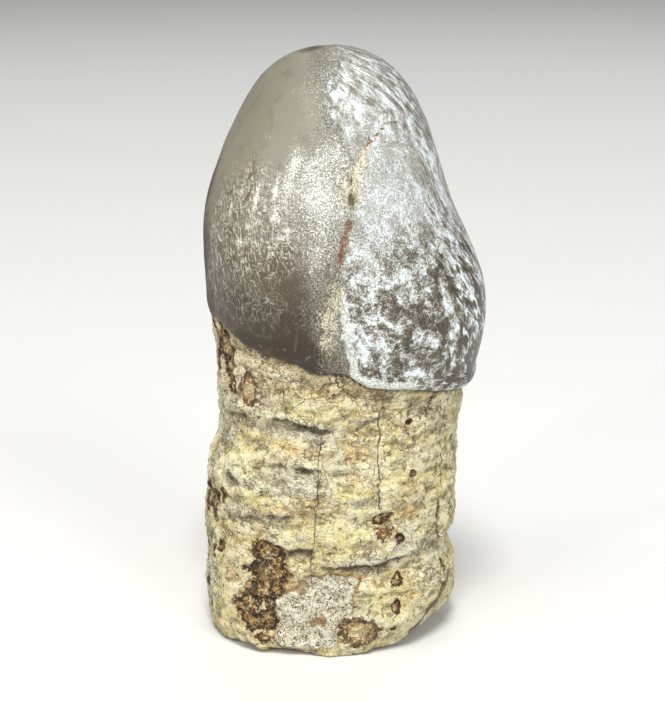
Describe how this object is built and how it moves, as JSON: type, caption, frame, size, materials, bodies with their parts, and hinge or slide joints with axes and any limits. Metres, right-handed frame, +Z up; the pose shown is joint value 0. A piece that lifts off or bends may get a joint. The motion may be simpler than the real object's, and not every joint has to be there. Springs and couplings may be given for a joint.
{
  "type": "fossil brontothere tooth",
  "caption": "Fossil tooth of an extinct horned mammal: a domed, glossy grey-brown enamel crown on a stout, cracked, cream-coloured root, standing on the root's broken end.",
  "frame": {"origin": "middle of the tooth's bounding box, at the surface that it stands on", "axes": "+Z up through the crown, +X towards the crown's low swelling, -Y towards the side that the picture shows"},
  "size_m": [0.0384, 0.037, 0.08],
  "materials": {
    "fossil_tooth": "satin, polished grey-brown enamel mottled with bluish white above, matt cream mineralised root with dark cracks and brown pits below"
  },
  "bodies": {
    "root": {"tooth": "fossil_tooth"}
  },
  "joints": []
}
